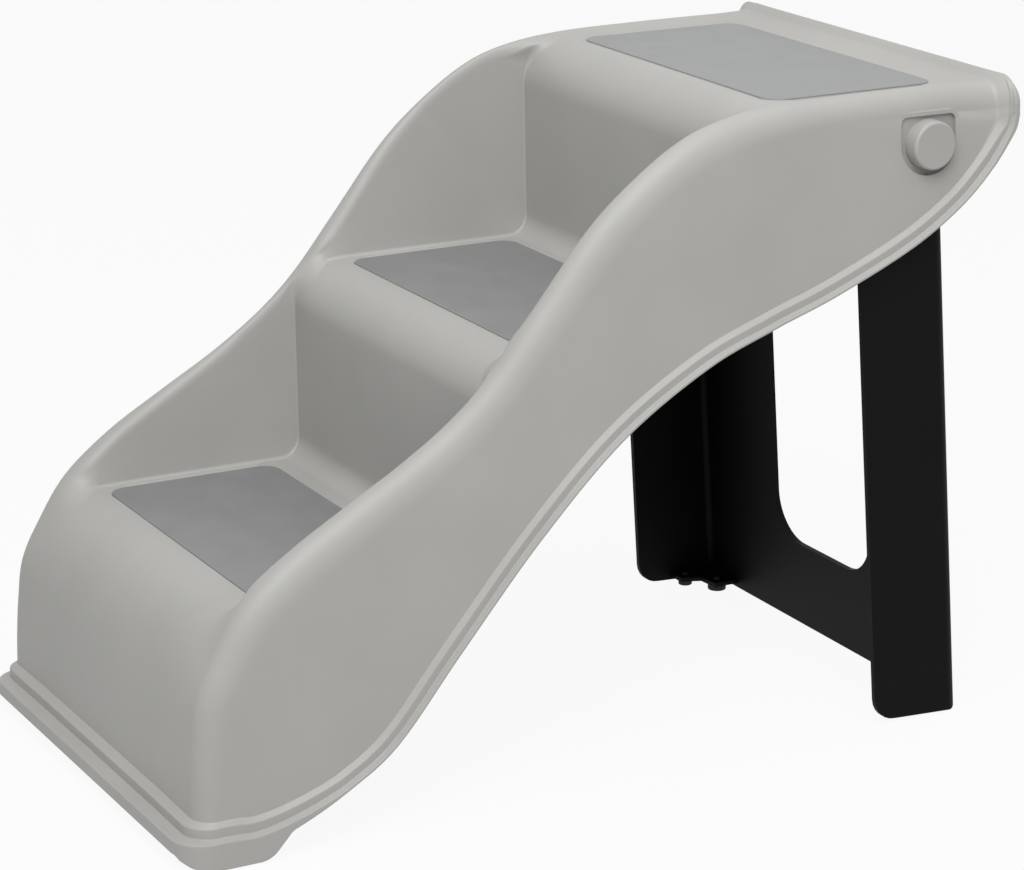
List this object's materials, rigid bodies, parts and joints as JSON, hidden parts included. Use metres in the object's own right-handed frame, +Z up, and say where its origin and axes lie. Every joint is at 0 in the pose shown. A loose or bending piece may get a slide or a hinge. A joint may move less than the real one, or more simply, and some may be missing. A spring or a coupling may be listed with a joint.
{
  "type": "pet stairs",
  "caption": "Moulded pet steps with grip mats on the treads, low side walls with a stepped brim, and a rear leg frame that swings forward under the treads to fold.",
  "frame": {"origin": "on the floor, at the middle of the footprint of the open stairs", "axes": "+X across the stairs to the right seen from the front, +Y from the front step to the rear, +Z up"},
  "size_m": [0.4, 0.7014, 0.5125],
  "materials": {
    "shell": "satin moulded polypropylene, light warm grey",
    "grip_mat": "matte fine-grained rubber, mid grey",
    "leg": "satin moulded plastic, near black",
    "knob": "satin moulded plastic, light grey",
    "pin": "turned steel",
    "bush": "acetal, off-white",
    "spring_ring": "spring steel",
    "foot_rubber": "matte rubber, dark grey"
  },
  "bodies": {
    "stairs": {"stair_shell": "shell", "bottom_tread_mat": "grip_mat", "middle_tread_mat": "grip_mat", "top_tread_mat": "grip_mat", "left_knob_cap": "knob", "right_knob_cap": "knob", "left_pivot_pin": "pin", "right_pivot_pin": "pin", "left_thrust_washer": "bush", "right_thrust_washer": "bush", "left_retaining_ring": "spring_ring", "right_retaining_ring": "spring_ring", "left_front_foot": "foot_rubber", "right_front_foot": "foot_rubber", "left_stop_bumper": "foot_rubber", "right_stop_bumper": "foot_rubber"},
    "legs": {"leg_frame": "leg", "left_pivot_bush": "bush", "right_pivot_bush": "bush", "left_leg_feet": "foot_rubber", "right_leg_feet": "foot_rubber"}
  },
  "joints": [
    {"name": "leg_fold", "type": "hinge", "parent": "stairs", "child": "legs", "pos_m": [0, 0.27575, 0.4655], "axis": [-1, 0, 0], "range_deg": [0, 48]}
  ]
}
